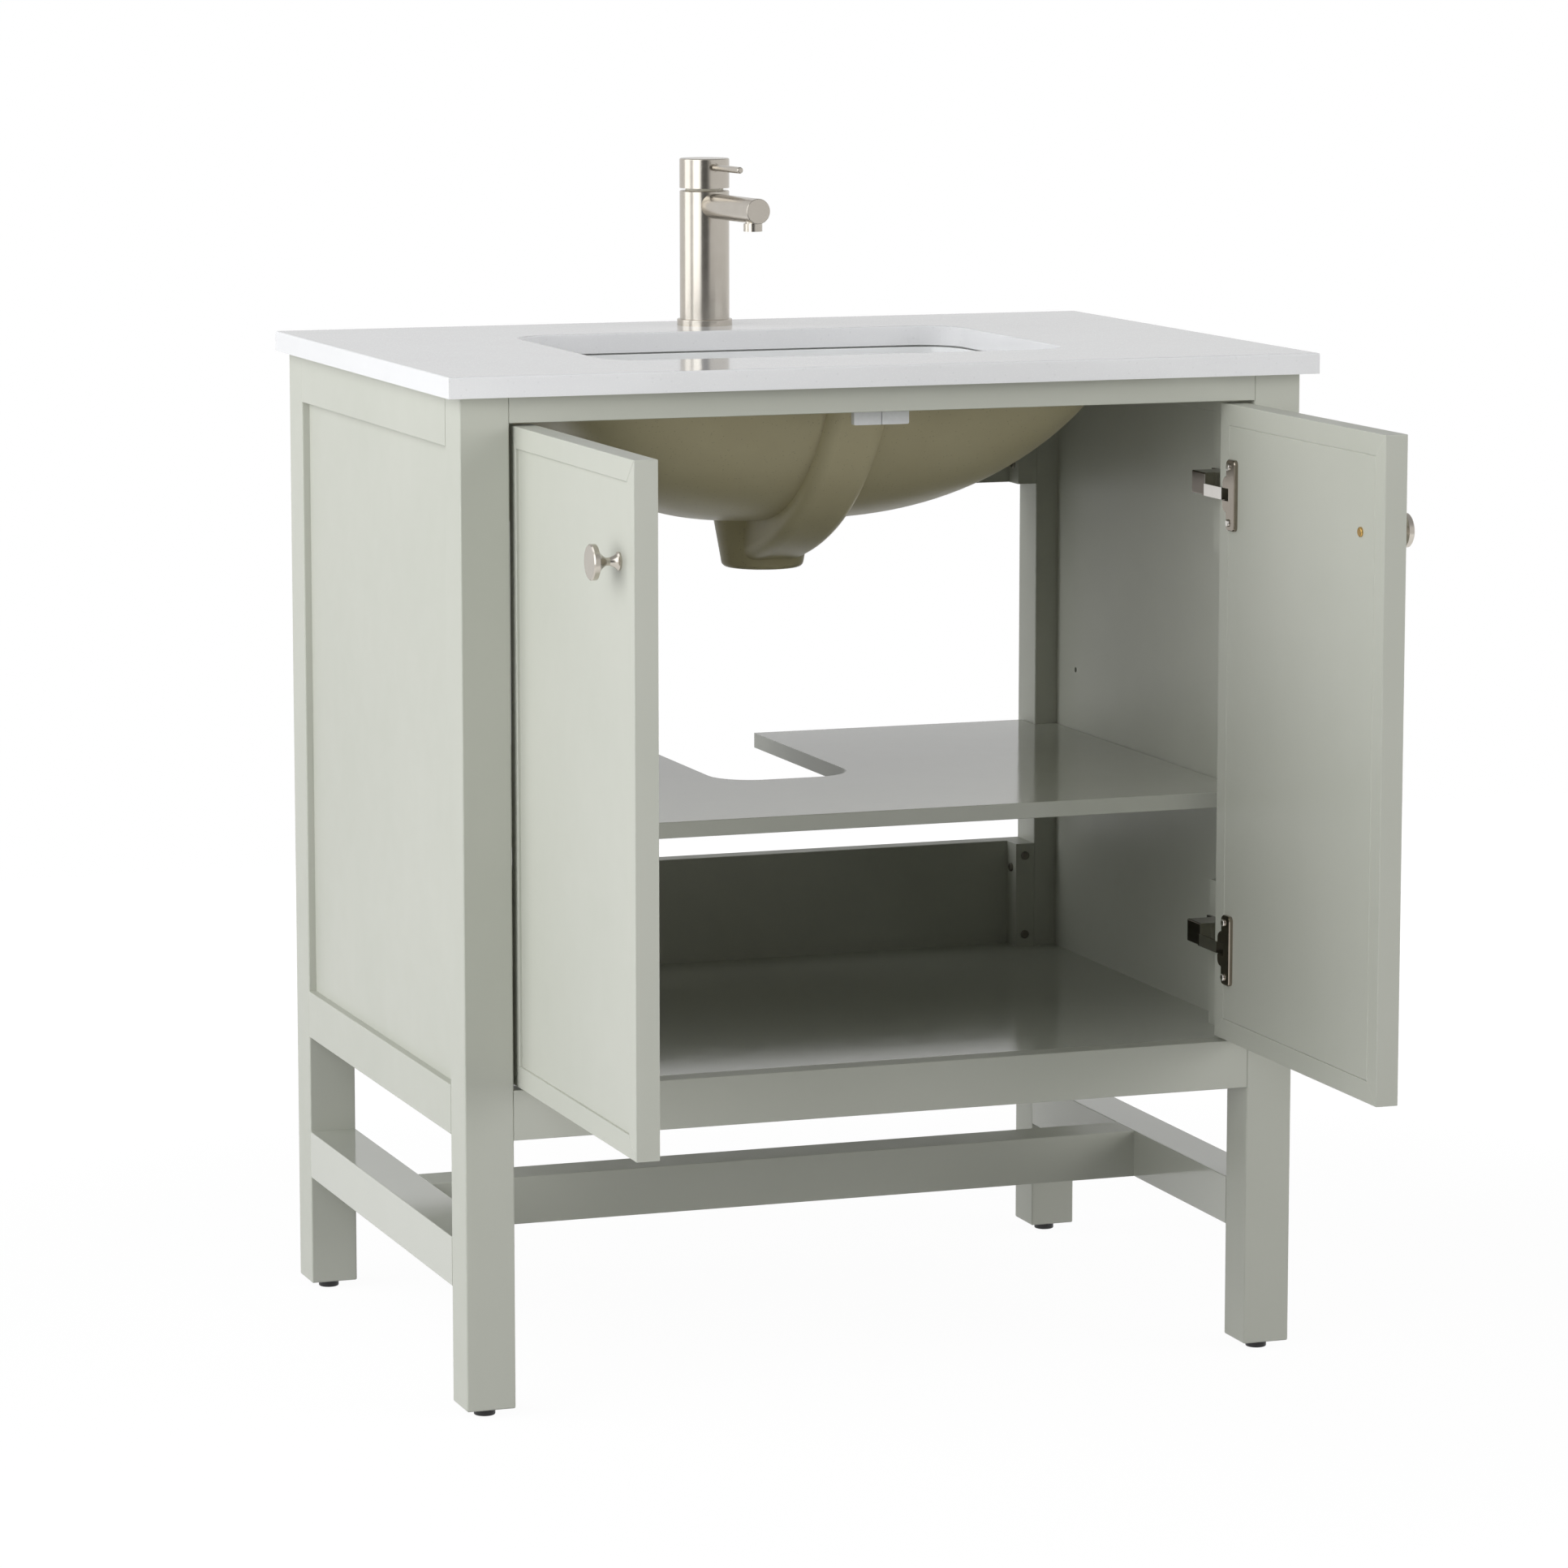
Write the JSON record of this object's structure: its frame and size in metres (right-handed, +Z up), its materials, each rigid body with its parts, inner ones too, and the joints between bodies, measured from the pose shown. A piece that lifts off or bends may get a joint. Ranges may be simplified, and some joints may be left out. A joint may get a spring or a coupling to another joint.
{
  "type": "vanity unit",
  "caption": "Bathroom vanity on square legs with inset doors, notched shelf, stone top, undermount basin and single-lever tap.",
  "frame": {"origin": "on the ground, at the centre of the four feet", "axes": "+X to the right, +Y towards the wall, +Z up"},
  "size_m": [0.7874, 0.8632, 1.0425],
  "materials": {
    "painted_wood": "satin paint",
    "stone": "polished",
    "china": "gloss glaze",
    "seal": "silicone",
    "nickel": "brushed nickel",
    "cartridge": "moulded",
    "tap_washer": "matt",
    "knob_screw": "plated",
    "hinge_steel": "nickel plated",
    "screw_steel": "dark zinc",
    "foot_plastic": "matt",
    "stop_plastic": "moulded"
  },
  "bodies": {
    "cabinet": {"back_bottom_rail": "painted_wood", "back_left_leg": "painted_wood", "back_right_leg": "painted_wood", "back_top_rail": "painted_wood", "basin": "china", "basin_seal": "seal", "centre_stretcher": "painted_wood", "corner_blocks": "painted_wood", "corner_screws": "screw_steel", "countertop": "stone", "door_stop": "stop_plastic", "feet": "foot_plastic", "fitting_screws": "hinge_steel", "floor_panel": "painted_wood", "front_bottom_rail": "painted_wood", "front_left_leg": "painted_wood", "front_right_leg": "painted_wood", "front_top_rail": "painted_wood", "hinge_blocks": "painted_wood", "left_hinge_arms": "hinge_steel", "left_side_bottom_rail": "painted_wood", "left_side_panel": "painted_wood", "left_side_top_rail": "painted_wood", "left_stretcher": "painted_wood", "right_hinge_arms": "hinge_steel", "right_side_bottom_rail": "painted_wood", "right_side_panel": "painted_wood", "right_side_top_rail": "painted_wood", "right_stretcher": "painted_wood", "shelf": "painted_wood", "shelf_pins": "screw_steel", "tap_aerator": "nickel", "tap_body": "nickel", "tap_cartridge": "cartridge", "tap_nut": "nickel", "tap_ring": "nickel", "tap_shank": "nickel", "tap_washer": "tap_washer"},
    "left_door": {"left_door_bottom_rail": "painted_wood", "left_door_free_stile": "painted_wood", "left_door_hinge_stile": "painted_wood", "left_door_panel": "painted_wood", "left_door_top_rail": "painted_wood", "left_hinge_plate_screws": "hinge_steel", "left_hinge_plates": "hinge_steel", "left_knob": "nickel", "left_knob_screw": "knob_screw"},
    "right_door": {"right_door_bottom_rail": "painted_wood", "right_door_free_stile": "painted_wood", "right_door_hinge_stile": "painted_wood", "right_door_panel": "painted_wood", "right_door_top_rail": "painted_wood", "right_hinge_plate_screws": "hinge_steel", "right_hinge_plates": "hinge_steel", "right_knob": "nickel", "right_knob_screw": "knob_screw"},
    "tap_stem": {"tap_stem": "cartridge"},
    "tap_handle": {"tap_cap": "nickel", "tap_lever": "nickel"}
  },
  "joints": [
    {"name": "left_door_hinge", "type": "hinge", "parent": "cabinet", "child": "left_door", "pos_m": [-0.326, -0.26565, 0.556], "axis": [0, 0, -1], "range_deg": [-90, 5]},
    {"name": "right_door_hinge", "type": "hinge", "parent": "cabinet", "child": "right_door", "pos_m": [0.326, -0.26565, 0.556], "axis": [0, 0, 1], "range_deg": [-90, 5]},
    {"name": "tap_turn", "type": "hinge", "parent": "cabinet", "child": "tap_stem", "pos_m": [0, 0.21425, 1.0228], "axis": [0, 0, 1], "range_deg": [-45, 45]},
    {"name": "tap_lift", "type": "hinge", "parent": "tap_stem", "child": "tap_handle", "pos_m": [-0.00091, 0.22722, 1.0228], "axis": [-0.9976, -0.0698, 0], "range_deg": [0, 12]}
  ]
}
